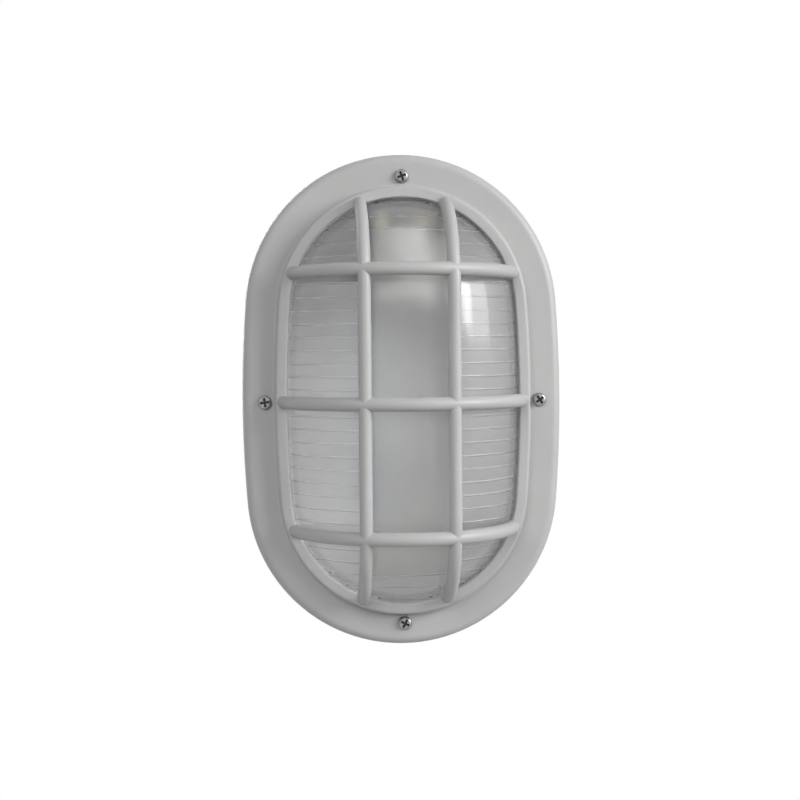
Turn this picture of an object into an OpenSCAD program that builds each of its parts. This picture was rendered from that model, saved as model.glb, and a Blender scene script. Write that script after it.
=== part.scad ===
// Oval bulkhead light with a guarded front, made to be screwed to a wall.
// Shapes are drawn as if the light lay on its back: x across, y along the oval, z out from the wall.
// on_wall() then stands each piece up, so that the finished part has +Z up and its front towards -Y.

/* [Outline] */
// Height of the light, over the cover frame
light_l = 255; // [230:1:280]
// Width of the light, over the cover frame
light_w = 166; // [156:1:180]
// How flat the long sides are: the higher the number, the flatter
side_flat = 26; // [21, 26, 41, 51]

/* [Base] */
// Depth of the base, from the wall to the face of its flange
base_d = 36; // [30:1:46]
// Thickness of the base's floor
floor_t = 2.5; // [2:0.1:4]
// Thickness of the base's side wall
wall_t = 2.5; // [2:0.1:3]
// Thickness of the base's flange
flange_t = 3; // [2:0.1:4]
// Distance from the light's edge in to the base's side wall, under the flange
tub_in = 24.5; // [24:0.1:27]
// Draft of the side wall, from the flange to the back
draft = 2.5; // [0.5:0.1:4]
// Rounding of the base's back edge
back_r = 3; // [1:0.1:5]
// Number of stiffening webs under each end of the flange
webs = 4; // [2:2:8]

/* [Wall fixing] */
// Distance across between the wall screw holes
wall_hole_x = 72; // [64:1:78]
// Distance up between the wall screw holes
wall_hole_y = 124; // [110:1:130]
// Diameter of each wall screw hole
wall_hole = 5.5; // [4:0.1:7]
// Place of the rear cable entry, below the middle
entry_y = 40; // [36:0.5:42]
// Diameter of the cable hole in the rubber grommet
cable_hole = 8; // [6:0.1:10]
// Diameter of the conduit entry at each end
conduit = 20; // [16:0.5:20]

/* [Cover frame] */
// Thickness of the frame's flat flange
plate_t = 3; // [2.5:0.1:4]
// Rounding of the flange's front edge
edge_r = 4.5; // [2.8:0.1:6]
// Thickness of the skirt that hides the base's flange
skirt_t = 2.2; // [1.8:0.1:2.6]
// Depth of the skirt behind the flange
skirt_h = 8.5; // [4:0.1:10]
// Distance from the light's edge in to the foot of the raised rim
rim_in = 17; // [16.5:0.1:17.5]
// Width of the raised rim
rim_w = 5.8; // [5.6:0.1:6.4]
// Height of the raised rim
rim_h = 6; // [4:0.1:8]
// Distance from the light's edge in to the cover screws
screw_in = 11.6; // [10.4:0.1:12]

/* [Guard] */
// Height of the guard's crown over the flange
guard_h = 50; // [42:1:60]
// Depth of a bar
bar_d = 4.4; // [4:0.1:5]
// Width of a bar that runs across
cross_w = 6.8; // [6:0.1:8]
// Width of a bar that runs up
upright_w = 6.4; // [5.6:0.1:7.6]
// Distance between the two uprights
upright_gap = 44; // [38:1:50]
// Distance from the middle cross bar to the next
cross_gap = 66; // [60:1:72]
// Half length of the straight middle of an upright
upright_flat = 56; // [50:1:60]

/* [Lens] */
// Thickness of the glass
lens_t = 3; // [2.5:0.1:4]
// Gap between the guard bars and the glass
lens_gap = 2.7; // [2.4:0.1:3.4]
// Gap between the rim and the glass's upright side
rim_gap = 1.4; // [1.2:0.1:2]
// Thickness of the lens's foot
foot_t = 4; // [3:0.1:6]
// Width of the flat strip along the crown
crown_flat = 12; // [8:0.5:20]
// Distance between the ribs inside the glass
rib_pitch = 6.6; // [5:0.1:10]
// Depth of the grooves between the ribs
rib_d = 0.8; // [0.4:0.1:1.2]
// Width of the grooves between the ribs
rib_groove = 1.2; // [0.8:0.1:2.4]
// Half width of the plain window in the middle
plain_x = 21; // [15:1:26]
// Half height of the plain window in the middle
plain_y = 78; // [40:1:90]

/* [Gasket] */
// Thickness of the gasket
gasket_t = 3; // [2:0.1:5]
// Width of the gasket
gasket_w = 6; // [4:0.1:6.2]
// Depth of the groove that holds the gasket
groove_d = 1; // [0.5:0.1:1.8]

/* [Screws] */
// Diameter of a cover screw
screw_d = 3.2; // [2.8:0.1:3.6]
// Diameter of a cover screw's head
head_d = 7; // [6:0.1:7.6]
// Height of a cover screw's head
head_h = 2.4; // [1.8:0.1:3]
// Length of a cover screw under its head
screw_l = 18; // [12:0.5:19]
// Diameter of the boss for a cover screw
boss_d = 8; // [7:0.1:8.4]

/* [Lampholder] */
// Distance of the lamp's axis from the wall
lamp_z = 36; // [34:0.5:38]
// Distance from the light's upper end to the holder's mouth
mouth_y = 76.5; // [74.5:0.5:79.5]
// Outer diameter of the porcelain
holder_d = 40; // [36:0.5:42]
// Diameter of the porcelain behind its shoulder
neck_d = 32; // [30:0.5:34]
// Depth of the lamp cavity
cavity_h = 27; // [25:0.5:28]
// Thickness of the porcelain behind the cavity
back_h = 9.5; // [9:0.5:11]
// Inner diameter of the screw shell
shell_d = 26.8; // [26:0.1:27.2]
// Thickness of the screw shell
shell_t = 0.6; // [0.4:0.1:0.8]
// Height of the bracket's foot over the wall
bracket_z = 8; // [7:0.5:9]
// Width of the bracket
bracket_w = 12; // [10:0.5:12.4]
// Thickness of the bracket
bracket_t = 1.2; // [1:0.1:1.6]
// Distance from the lamp's axis to each wire terminal
term_x = 9.6; // [9.4:0.1:10]

/* [Wiring] */
// Distance from the light's lower end to the middle of the terminal block
block_y = 51.5; // [49.5:0.5:53.5]
// Distance from the middle to each pole of the terminal block
pole_x = 7; // [6.6:0.1:8]
// Diameter of an insulated lead
lead_d = 2.8; // [2.2:0.1:3.2]
// Distance from the middle to the lead's run along the floor
lead_x = 18; // [17:0.5:20]
// Bend radius of a lead
lead_bend = 2.5; // [2:0.1:2.6]

/* [Hidden] */
$fn = 64;

// Clearances
slip = 0.1;
loose = 0.4;

// The oval: two end arcs and two long side arcs that meet them without a corner.
// The line from a side's middle to an end's middle has short decimals, so the arcs meet without a step.
half_l = light_l / 2;
half_w = light_w / 2;
end_y = (half_l - half_w) * side_flat / (side_flat - 1);
far_x = (half_l - half_w) * (side_flat + 1) / 2;
end_r = half_l - end_y;
side_r = half_w + far_x;
side_turn = atan2(end_y, far_x);
side_sweep = atan2(7, 24);

// Levels, measured out from the wall
groove_z = base_d - groove_d;
foot_z = groove_z + gasket_t;
plate_z = foot_z + foot_t;
front_z = plate_z + plate_t;
rim_z = front_z + rim_h;
crown_z = front_z + guard_h;

// Places across the cover's edge, measured in from the light's edge
rim_out = rim_in + rim_w;
rim_round = 1.5;
rim_inside = 0.8;
gasket_mid = rim_out - gasket_w / 2 - 0.2;
lens_edge = screw_in + boss_d / 2 + 0.8;
bar_foot_in = rim_in + cross_w / 2 + 1.3;

// The guard: the middle cross bar is one arc from rim to rim, and sets the height of the uprights
cross_r = cross_w / 2;
upright_r = upright_w / 2;
upright_x = upright_gap / 2;
bar_foot_z = rim_z;
foot_turn = 5;
foot_sink = 1;
function arc_middle(x1, z1, x2, z2) = (x1 * x1 + z1 * z1 - x2 * x2 - z2 * z2) / (2 * (z1 - z2));
function rim_half_width(y) = sqrt(pow(end_r - bar_foot_in, 2) - pow(max(0, y - end_y), 2))
  + (y == 0 ? half_w - end_r : 0);
crown_axis = crown_z - cross_r;
middle_z = arc_middle(0, crown_axis, rim_half_width(0), bar_foot_z);
middle_r = crown_axis - middle_z;
upright_z = middle_z + sqrt(middle_r * middle_r - upright_x * upright_x);
upright_foot = end_y + sqrt(pow(end_r - bar_foot_in, 2) - upright_x * upright_x);
upright_run = upright_foot - upright_flat;
upright_drop = upright_z - bar_foot_z;
upright_bend = (upright_run * upright_run + upright_drop * upright_drop) / (2 * upright_drop);
crossing_z = upright_z - upright_bend
  + sqrt(pow(upright_bend, 2) - pow(max(0, cross_gap - upright_flat), 2));

// The glass stands up straight beside the rim, and is an arc from there to its crown
lens_side = rim_out + rim_gap;
lens_crown = crown_z - bar_d - lens_gap;
lens_z = arc_middle(0, lens_crown, half_w - lens_side, rim_z);
lens_r = lens_crown - lens_z;
lens_top = lens_z + sqrt(lens_r * lens_r - crown_flat * crown_flat / 4);

// Lampholder levels along the lamp's axis
holder_y = half_l - mouth_y;
cavity_y = holder_y + cavity_h;
holder_back = cavity_y + back_h;
bracket_back = holder_back + bracket_t;
shell_r = shell_d / 2;
shell_y = holder_y + 3;
shell_l = cavity_y - shell_y;
thread_l = shell_l - 6;
ring_r = 5.5;
contact_t = 0.5;
fix_z = 9;
foot_step = 16;
foot_end = 8;
foot_y2 = holder_back - 7.5;
foot_y1 = foot_y2 - foot_step;
term_w = 6;
term_d = 6.6;
term_h = 8;
wire_in = 3.7;
wire_y = holder_back + wire_in;

// Screws inside: diameter, head and height of head, and how far they go in
holder_bite = 6;
term_bite = 2;
bracket_screw = [3, 6, 2];
holder_screw = [3.2, 5.6, 1.8];
contact_screw = [2.5, 4.2, 1.4];
wire_screw = [2.4, 4.4, 1.4];
pole_screw = [2.4, 3.8, 2.4];

// Screw bosses of the base
boss_l = 12;
boss_hole = 10.5;
bracket_boss = 8;
wall_boss = 6.5;
floor_lap = 8;

// Wiring levels
block_l = 16;
block_h = 12;
block_low = 5;
block_edge = 2;
tower = 4;
block_z = floor_t + 1.5;
pole_z = block_z + 5.5;
pole_r = 2.6;
wire_r = 0.8;
lead_r = lead_d / 2;
lead_z = floor_t + lead_r + slip;
pole_y = half_l - block_y;
pole_step = 4;
lead_turn_y = block_l / 2 - pole_y + 8;
lead_rise_y = holder_back - 6;
lead_rise_z = lead_z + bracket_z;

// Conduit entries
conduit_r = conduit / 2;
conduit_z = 18;
conduit_in = half_l - tub_in - draft - wall_t;
conduit_out = half_l - tub_in + 4.5;

grommet_pad = floor_t + 2.5;
grommet_lip = 2;
grommet_rim = 3;
grommet_edge = 1.5;
entry_r = 7;

function arc(c, r, a0, a1, n) =
  [for (i = [0 : n]) c + r * [cos(a0 + (a1 - a0) * i / n), sin(a0 + (a1 - a0) * i / n)]];

// How far in from the light's edge the base's side wall stands at a height, on its outer face
function wall_in(z) = tub_in + draft * (base_d - flange_t - z) / (base_d - flange_t);

module on_wall() {
  rotate([90, 0, 0])
    children();
}

// The part of the plan that belongs to the upper end arc
module end_zone() {
  translate([0, end_y, -light_l])
    linear_extrude(2 * light_l)
      polygon([[0, 0], [far_x / 2, end_y / 2], [0, far_x], [-far_x / 2, end_y / 2]]);
}

// Carries a profile round the oval. In the profile x = 0 is the light's edge, -x is inwards and y is z.
module round_oval() {
  for (turn = [0, 180])
    rotate(turn) {
      intersection() {
        translate([0, end_y, 0])
          rotate_extrude()
            intersection() {
              translate([end_r, 0])
                children();
              square(light_l);
            }
        end_zone();
      }
      difference() {
        intersection() {
          translate([-far_x, 0, 0])
            rotate(-side_sweep)
              rotate_extrude(angle = 2 * side_sweep, $fn = 4 * $fn)
                translate([side_r, 0])
                  children();
          translate([0, -light_l, -light_l])
            cube(2 * light_l);
        }
        end_zone();
        rotate(180)
          end_zone();
      }
    }
}

// Places that repeat
module at_cover_screws() {
  for (p = [[0, half_l - screw_in], [0, screw_in - half_l], [half_w - screw_in, 0], [screw_in - half_w, 0]])
    translate([p[0], p[1], 0])
      children();
}

module at_wall_holes() {
  for (x = [-1, 1], y = [-1, 1])
    translate([x * wall_hole_x / 2, y * wall_hole_y / 2, 0])
      children();
}

module at_sides(x) {
  for (side = [-1, 1])
    translate([side * x, 0, 0])
      children();
}

// Lays a shape that was drawn along z along the lamp's axis instead
module along_lamp(y) {
  translate([0, y, lamp_z])
    rotate([-90, 0, 0])
      children();
}

// A pan-head screw with a crossed recess, head up, with its seat at z = 0
module pan_screw(d, length, head, height) {
  difference() {
    union() {
      rotate_extrude()
        polygon(concat([[0, 0], [head / 2, 0]],
          arc([head / 2 - height * 0.6, height * 0.4], height * 0.6, 0, 90, 4), [[0, height]]));
      translate([0, 0, -length])
        cylinder(d = d, h = length + height / 2);
    }
    for (turn = [0, 90])
      rotate(turn)
        translate([-head * 0.28, -head * 0.07, height * 0.45])
          cube([head * 0.56, head * 0.14, height]);
  }
}

// A slotted screw, head up, with its seat at z = 0
module slot_screw(d, length, head, height) {
  difference() {
    union() {
      cylinder(d = head, h = height);
      translate([0, 0, -length])
        cylinder(d = d, h = length + height / 2);
    }
    translate([-head, -head * 0.1, height * 0.5])
      cube([2 * head, head * 0.2, height]);
  }
}

// A web under the base's flange, drawn in the plane of a profile
module flange_web() {
  low = back_r + 3;
  top = base_d - flange_t / 2;
  rotate([90, 0, 0])
    translate([0, 0, -1])
      linear_extrude(2)
        polygon([[-wall_in(low) - wall_t / 2, low], [-wall_in(top) - wall_t / 2, top], [-6, top]]);
}

// A flat oval, all the way round this far in from the light's edge
module flat_oval(in) {
  for (y = [-end_y, end_y])
    translate([0, y])
      circle(end_r - in);
  intersection() {
    translate([far_x, 0])
      circle(side_r - in, $fn = 8 * $fn);
    translate([-far_x, 0])
      circle(side_r - in, $fn = 8 * $fn);
    translate([-half_w, -end_y])
      square([light_w, 2 * end_y]);
  }
}

module base_shell() {
  deep = tub_in + draft;
  out = skirt_t + loose;
  floor_in = deep + wall_t;
  round_oval()
    polygon(concat(
      [[-floor_in - floor_lap, 0]],
      arc([-deep - back_r, back_r], back_r, 270, 360, 4),
      [[-tub_in, base_d - flange_t], [-out, base_d - flange_t], [-out, base_d],
      [-gasket_mid + gasket_w / 2 + slip, base_d], [-gasket_mid + gasket_w / 2 + slip, groove_z],
      [-gasket_mid - gasket_w / 2 - slip, groove_z], [-gasket_mid - gasket_w / 2 - slip, base_d],
      [-tub_in - wall_t, base_d], [-floor_in, floor_t], [-floor_in - floor_lap, floor_t]]));
  linear_extrude(floor_t)
    flat_oval(floor_in + floor_lap / 2);
}

module base() {
  color("lightgray")
    on_wall()
      difference() {
        union() {
          base_shell();
          at_cover_screws()
            translate([0, 0, base_d - boss_l])
              cylinder(d = boss_d, h = plate_z - 0.3 - base_d + boss_l);
          at_wall_holes()
            cylinder(d = wall_hole + wall_boss, h = floor_t + 1.5);
          for (turn = [0, 180], flip = [0, 1], i = [1 : webs / 2])
            rotate(turn)
              mirror([flip, 0, 0])
                translate([0, end_y, 0])
                  rotate(120 * i / webs)
                    translate([end_r, 0, 0])
                      flange_web();
          for (turn = [0, 180], y = [-1, 1])
            rotate(turn)
              translate([-far_x, 0, 0])
                rotate(y * side_turn / 2)
                  translate([side_r, 0, 0])
                    flange_web();
          for (y = [foot_y1, foot_y2])
            translate([0, y, 0])
              cylinder(d = bracket_boss, h = bracket_z);
          translate([-pole_x - tower, -pole_y - block_l / 2, floor_t / 2])
            cube([2 * (pole_x + tower), block_l, block_z - floor_t / 2]);
          translate([0, -entry_y, 0])
            cylinder(r = entry_r + 2 * grommet_rim, h = grommet_pad);
          for (turn = [0, 180])
            rotate(turn)
              translate([0, conduit_in + 1.2, conduit_z])
                rotate([-90, 0, 0])
                  cylinder(r = conduit_r + 4, h = conduit_out - conduit_in - 1.2);
        }
        at_cover_screws()
          translate([0, 0, base_d - boss_hole])
            cylinder(d = screw_d + slip, h = base_d);
        at_wall_holes()
          translate([0, 0, -1])
            cylinder(d = wall_hole, h = base_d);
        for (y = [foot_y1, foot_y2])
          translate([0, y, 1])
            cylinder(d = bracket_screw[0] + slip, h = base_d);
        translate([0, -pole_y, 0.8])
          cylinder(d = wire_screw[0] + slip, h = base_d);
        translate([0, -entry_y, -1]) {
          cylinder(r = entry_r, h = base_d);
          cylinder(r = entry_r + grommet_rim + loose, h = 1 + grommet_lip);
        }
        for (turn = [0, 180])
          rotate(turn)
            translate([0, conduit_in - 5, conduit_z])
              rotate([-90, 0, 0])
                cylinder(r = conduit_r + slip, h = 2 * (conduit_out - conduit_in));
      }
}

module cable_grommet() {
  color("dimgray")
    on_wall()
      translate([0, -entry_y, 0])
        rotate_extrude()
          polygon([[cable_hole / 2, 0.2], [entry_r + grommet_rim, 0.2], [entry_r + grommet_rim, grommet_lip],
            [entry_r - slip, grommet_lip], [entry_r - slip, grommet_pad],
            [entry_r + grommet_rim - loose, grommet_pad],
            [entry_r + grommet_edge, grommet_pad + grommet_edge],
            [cable_hole / 2, grommet_pad + grommet_edge]]);
}

module conduit_plugs() {
  color("gray")
    on_wall()
      for (turn = [0, 180])
        rotate(turn)
          translate([0, 0, conduit_z])
            rotate([-90, 0, 0])
              difference() {
                union() {
                  translate([0, 0, conduit_in])
                    cylinder(r = conduit_r, h = conduit_out - conduit_in);
                  translate([0, 0, conduit_out])
                    rotate_extrude()
                      polygon([[0, 0], [conduit_r + 3, 0], [conduit_r + 3, 1.6],
                        [conduit_r + 1.6, 3], [0, 3]]);
                }
                translate([-conduit_r * 0.7, -1.2, conduit_out + 1.2])
                  cube([conduit_r * 1.4, 2.4, 4]);
                translate([0, 0, conduit_in - 1])
                  cylinder(r = conduit_r - 2, h = conduit_out - conduit_in - 1);
              }
}

module lens_gasket() {
  color("black")
    on_wall()
      round_oval()
        translate([-gasket_mid - gasket_w / 2, groove_z])
          square([gasket_w, gasket_t]);
}

// The space inside a face that lies this deep in the glass: an arc, cut off at the crown and beside the rim
module dome_profile(deep, foot) {
  intersection() {
    translate([-half_w, lens_z])
      circle(lens_r - deep);
    translate([-half_w, foot])
      square([half_w - lens_side - deep, lens_top - deep - foot]);
  }
}

// The glass's wall between two depths
module wall_profile(outer, inner) {
  difference() {
    dome_profile(outer, foot_z);
    dome_profile(inner, foot_z - 1);
  }
}

// Grooves between the ribs, which leave a plain window in the middle of the glass
module rib_grooves() {
  count = floor(half_l / rib_pitch);
  for (i = [-count : count])
    translate([0, i * rib_pitch - rib_groove / 2, 0])
      if (abs(i * rib_pitch) > plain_y)
        translate([-half_w, 0, plate_z])
          cube([light_w, rib_groove, light_l]);
      else
        at_sides(plain_x + half_w / 2)
          translate([-half_w / 2, 0, plate_z])
            cube([half_w, rib_groove, light_l]);
}

// A plain wall, its ribs, which start half way into the wall, and its foot
module lens() {
  skin = lens_t - rib_d;
  color("azure", 0.5)
    on_wall() {
      round_oval()
        wall_profile(0, skin);
      difference() {
        round_oval()
          wall_profile(skin / 2, lens_t);
        rib_grooves();
      }
      translate([0, 0, foot_z])
        linear_extrude(foot_t)
          difference() {
            flat_oval(lens_edge);
            flat_oval(lens_side + skin / 4);
          }
    }
}

// A bar's section: a half round front on a short straight web, with its front along +x
module bar_section(r) {
  intersection() {
    circle(r);
    translate([0, -r])
      square([r, 2 * r]);
  }
  translate([r - bar_d, -r])
    square([bar_d - r, 2 * r]);
}

// A bar across the guard, bent to one arc through its foot on the rim and its crossing with the uprights.
// Its ends run on into the rim, and are cut off level there.
module cross_bar(y, middle, r) {
  foot_angle = asin((bar_foot_z - middle) / r) - foot_turn;
  translate([0, y, middle])
    rotate([90, 0, 0])
      rotate(foot_angle)
        rotate_extrude(angle = 180 - 2 * foot_angle)
          translate([r, 0])
            bar_section(cross_r);
}

// A bar up the guard: straight in the middle, with an arc down to the rim at each end
module upright() {
  translate([0, upright_flat, upright_z])
    rotate([90, 90, 0])
      mirror([1, 0, 0])
        linear_extrude(2 * upright_flat)
          bar_section(upright_r);
  for (turn = [0, 180])
    rotate(turn)
      translate([0, upright_flat, upright_z - upright_bend])
        rotate([0, -90, 0])
          rotate_extrude(angle = asin(upright_run / upright_bend) + foot_turn)
            translate([upright_bend, 0])
              bar_section(upright_r);
}

module guard_frame() {
  outer_foot = rim_half_width(cross_gap);
  outer_middle = arc_middle(upright_x, crossing_z, outer_foot, bar_foot_z);
  outer_r = sqrt(upright_x * upright_x + pow(crossing_z - outer_middle, 2));
  color("gainsboro")
    on_wall()
      difference() {
        union() {
          round_oval()
            polygon(concat(
              [[-rim_out, plate_z], [-skirt_t, plate_z],
              [-skirt_t, plate_z - skirt_h], [0, plate_z - skirt_h]],
              arc([-edge_r, front_z - edge_r], edge_r, 0, 90, 6),
              arc([-rim_in + rim_round, front_z + rim_round], rim_round, 270, 180, 4),
              arc([-rim_in - rim_round, rim_z - rim_round], rim_round, 0, 90, 4),
              arc([-rim_out + rim_inside, rim_z - rim_inside], rim_inside, 90, 180, 3)));
          intersection() {
            union() {
              cross_bar(0, middle_z, middle_r);
              for (side = [-1, 1])
                cross_bar(side * cross_gap, outer_middle, outer_r);
              at_sides(upright_x)
                upright();
            }
            translate([-half_w, -half_l, rim_z - foot_sink])
              cube([light_w, light_l, guard_h]);
          }
        }
        at_cover_screws()
          translate([0, 0, plate_z - 1])
            cylinder(d = screw_d + 1, h = plate_t + 2);
      }
}

module cover_screws() {
  color("silver")
    on_wall()
      at_cover_screws()
        translate([0, 0, front_z])
          pan_screw(screw_d, screw_l, head_d, head_h);
}

module holder_bracket() {
  top_z = lamp_z + fix_z + 5;
  front = foot_y1 - foot_end;
  bend = bracket_t + 1.5;
  color("lightsteelblue")
    on_wall()
      difference() {
        translate([-bracket_w / 2, 0, 0])
          rotate([90, 0, 90])
            linear_extrude(bracket_w)
              polygon(concat(
                [[front, bracket_z]],
                arc([bracket_back - bend, bracket_z + bend], bend, 270, 360, 6),
                [[bracket_back, top_z], [holder_back, top_z]],
                arc([bracket_back - bend, bracket_z + bend], bend - bracket_t, 360, 270, 6),
                [[front, bracket_z + bracket_t]]));
        for (y = [foot_y1, foot_y2])
          translate([0, y, bracket_z - 1])
            cylinder(d = bracket_screw[0] + 2 * loose, h = bracket_t + 2);
        for (z = [-fix_z, fix_z])
          along_lamp(holder_back - 1)
            translate([0, z, 0])
              cylinder(d = holder_screw[0] + loose, h = bracket_t + 2);
      }
}

module bracket_screws() {
  color("silver")
    on_wall()
      for (y = [foot_y1, foot_y2])
        translate([0, y, bracket_z + bracket_t])
          pan_screw(bracket_screw[0], bracket_z - 0.8, bracket_screw[1], bracket_screw[2]);
}

module holder_body() {
  shoulder = 5;
  color("whitesmoke")
    on_wall()
      difference() {
        along_lamp(holder_y)
          rotate_extrude()
            polygon([[shell_r + shell_t + 0.8, 0], [holder_d / 2 - 1, 0], [holder_d / 2, 1],
              [holder_d / 2, cavity_h - shoulder], [neck_d / 2, cavity_h + 2],
              [neck_d / 2, cavity_h + back_h], [0, cavity_h + back_h], [0, cavity_h],
              [shell_r + shell_t + 0.8, cavity_h]]);
        at_sides(term_x)
          along_lamp(cavity_y - 1)
            cylinder(d = contact_screw[0] + loose, h = back_h + 2);
        for (z = [-fix_z, fix_z])
          along_lamp(holder_back - holder_bite - 1)
            translate([0, z, 0])
              cylinder(d = holder_screw[0] + slip, h = holder_bite + 2);
      }
}

module holder_screws() {
  color("silver")
    on_wall()
      for (z = [-fix_z, fix_z])
        along_lamp(bracket_back)
          translate([0, z, 0])
            pan_screw(holder_screw[0], bracket_t + holder_bite, holder_screw[1], holder_screw[2]);
}

// The shell is straight where the lamp's thread goes, and narrows to a ring behind it
module screw_shell() {
  neck_r = shell_r - 1.2;
  color("gold")
    on_wall()
      difference() {
        along_lamp(shell_y)
          rotate_extrude()
            polygon([[shell_r, 0], [shell_r + shell_t, 0], [shell_r + shell_t, thread_l],
              [neck_r + shell_t, thread_l + 1.5], [neck_r + shell_t, shell_l],
              [ring_r, shell_l], [ring_r, shell_l - shell_t],
              [neck_r, shell_l - shell_t], [neck_r, thread_l + 1.5], [shell_r, thread_l]]);
        translate([term_x, cavity_y - 3, lamp_z])
          rotate([-90, 0, 0])
            cylinder(d = 2.8, h = 4);
        translate([-neck_r + 0.1, cavity_y - 2, lamp_z - 4.5])
          cube([neck_r - 2, 3, 9]);
      }
}

// A sprung leaf, held at one side and bent up under the lamp's tip
module centre_contact() {
  tip_x = 3;
  rise = cavity_y - 4.8;
  color("goldenrod")
    on_wall()
      difference() {
        translate([0, 0, lamp_z - 3.5])
          linear_extrude(7)
            polygon([[-term_x - 1.9, cavity_y], [-term_x - 1.9, cavity_y - contact_t],
              [-5.5, cavity_y - contact_t], [-1, rise + 0.3], [tip_x, rise],
              [tip_x, rise + contact_t], [-0.8, rise + 0.3 + contact_t],
              [-5.3, cavity_y]]);
        translate([-term_x, cavity_y - 3, lamp_z])
          rotate([-90, 0, 0])
            cylinder(d = 2.8, h = 4);
      }
}

// One screw holds the shell's ring, and the other the centre contact
module contact_screws() {
  color("khaki")
    on_wall()
      for (seat = [[term_x, shell_t], [-term_x, contact_t]])
        along_lamp(cavity_y - seat[1])
          translate([seat[0], 0, 0])
            mirror([0, 0, 1])
              slot_screw(contact_screw[0], back_h + seat[1] + term_bite, contact_screw[1], contact_screw[2]);
}

module wire_terminals() {
  color("gold")
    on_wall()
      at_sides(term_x)
        difference() {
          translate([-term_w / 2, holder_back, lamp_z - term_h / 2])
            cube([term_w, term_d, term_h]);
          translate([0, wire_y, lamp_z - term_h])
            cylinder(r = wire_r + slip, h = term_h + 2);
          along_lamp(holder_back - 1)
            cylinder(d = contact_screw[0] + slip, h = 1 + term_bite + loose);
          along_lamp(wire_y)
            cylinder(d = wire_screw[0] + slip, h = term_d);
        }
}

module wire_screws() {
  color("silver")
    on_wall()
      at_sides(term_x)
        along_lamp(holder_back + term_d)
          slot_screw(wire_screw[0], term_d - wire_in - wire_r - slip, wire_screw[1], wire_screw[2]);
}

// A round wire along square corners, each bent to the same radius
module bent_wire(points, r, bend) {
  last = len(points) - 1;
  steps = [for (i = [0 : last - 1]) points[i + 1] - points[i]];
  dirs = [for (s = steps) s / norm(s)];
  for (i = [0 : last - 1]) {
    start = points[i] + (i > 0 ? bend : 0) * dirs[i];
    trim = (i > 0 ? bend : 0) + (i < last - 1 ? bend : 0);
    translate(start)
      rotate([0, acos(dirs[i][2]), atan2(dirs[i][1], dirs[i][0])])
        cylinder(r = r, h = norm(steps[i]) - trim);
  }
  for (i = [1 : last - 1]) {
    x = -dirs[i];
    y = dirs[i - 1];
    z = cross(x, y);
    c = points[i] - bend * y - bend * x;
    multmatrix([[x[0], y[0], z[0], c[0]], [x[1], y[1], z[1], c[1]], [x[2], y[2], z[2], c[2]]])
      rotate_extrude(angle = 90)
        translate([bend, 0])
          circle(r);
  }
}

// An insulated lead from the terminal block, along the floor and up behind the holder, with bared ends
module lead(side) {
  block_end = [side * pole_x, block_l / 2 - pole_y, pole_z];
  holder_end = [side * term_x, wire_y, lamp_z - term_h / 2];
  bent_wire([block_end,
    [side * pole_x, lead_turn_y, pole_z],
    [side * pole_x, lead_turn_y, lead_z],
    [side * lead_x, lead_turn_y, lead_z],
    [side * lead_x, lead_rise_y, lead_z],
    [side * term_x, lead_rise_y, lead_z],
    [side * term_x, lead_rise_y, lead_rise_z],
    [side * term_x, wire_y, lead_rise_z],
    holder_end], lead_r, lead_bend);
  translate(block_end)
    rotate([90, 0, 0])
      translate([0, 0, -1])
        cylinder(r = wire_r, h = 7);
  translate(holder_end)
    translate([0, 0, -1])
      cylinder(r = wire_r, h = 6.5);
}

module live_lead() {
  color("saddlebrown")
    on_wall()
      lead(1);
}

module neutral_lead() {
  color("steelblue")
    on_wall()
      lead(-1);
}

module terminal_block() {
  waist = pole_x - tower;
  top = block_z + block_h;
  color("ivory")
    on_wall()
      translate([0, -pole_y, 0])
        difference() {
          translate([0, block_l / 2, 0])
            rotate([90, 0, 0])
              linear_extrude(block_l)
                polygon([[-pole_x - tower, block_z], [pole_x + tower, block_z],
                  [pole_x + tower, top - block_edge], [pole_x + tower - block_edge, top],
                  [waist + block_edge, top], [waist, top - block_edge], [waist, block_z + block_low],
                  [-waist, block_z + block_low], [-waist, top - block_edge], [-waist - block_edge, top],
                  [-pole_x - tower + block_edge, top], [-pole_x - tower, top - block_edge]]);
          at_sides(pole_x) {
            translate([0, block_l, pole_z])
              rotate([90, 0, 0])
                cylinder(r = pole_r + slip, h = 2 * block_l);
            for (y = [-pole_step, pole_step])
              translate([0, y, pole_z])
                cylinder(d = pole_screw[1] + 2 * slip, h = block_l);
          }
          cylinder(d = wire_screw[0] + 2 * slip, h = base_d);
        }
}

module pole_inserts() {
  color("gold")
    on_wall()
      at_sides(pole_x)
        translate([0, -pole_y, pole_z])
          difference() {
            rotate([90, 0, 0])
              translate([0, 0, 1 - block_l / 2])
                cylinder(r = pole_r, h = block_l - 2);
            rotate([90, 0, 0])
              translate([0, 0, -block_l])
                cylinder(r = pole_r - 0.9, h = 2 * block_l);
            for (y = [-pole_step, pole_step])
              translate([0, y, 0])
                cylinder(d = pole_screw[0] + slip, h = block_l);
          }
}

module pole_screws() {
  color("silver")
    on_wall()
      at_sides(pole_x)
        for (y = [-pole_step, pole_step])
          translate([0, y - pole_y, pole_z + pole_r + slip])
            slot_screw(pole_screw[0], 1.6, pole_screw[1], pole_screw[2]);
}

module block_screw() {
  color("silver")
    on_wall()
      translate([0, -pole_y, block_z + block_low])
        pan_screw(wire_screw[0], block_z + block_low - 1.4, wire_screw[1], wire_screw[2]);
}

base();
cable_grommet();
conduit_plugs();
lens_gasket();
lens();
guard_frame();
cover_screws();
holder_bracket();
bracket_screws();
holder_body();
holder_screws();
screw_shell();
centre_contact();
contact_screws();
wire_terminals();
wire_screws();
live_lead();
neutral_lead();
terminal_block();
pole_inserts();
pole_screws();
block_screw();
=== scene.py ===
"""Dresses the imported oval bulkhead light: finishes, the ribbed glass, the screws and the stage."""

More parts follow.
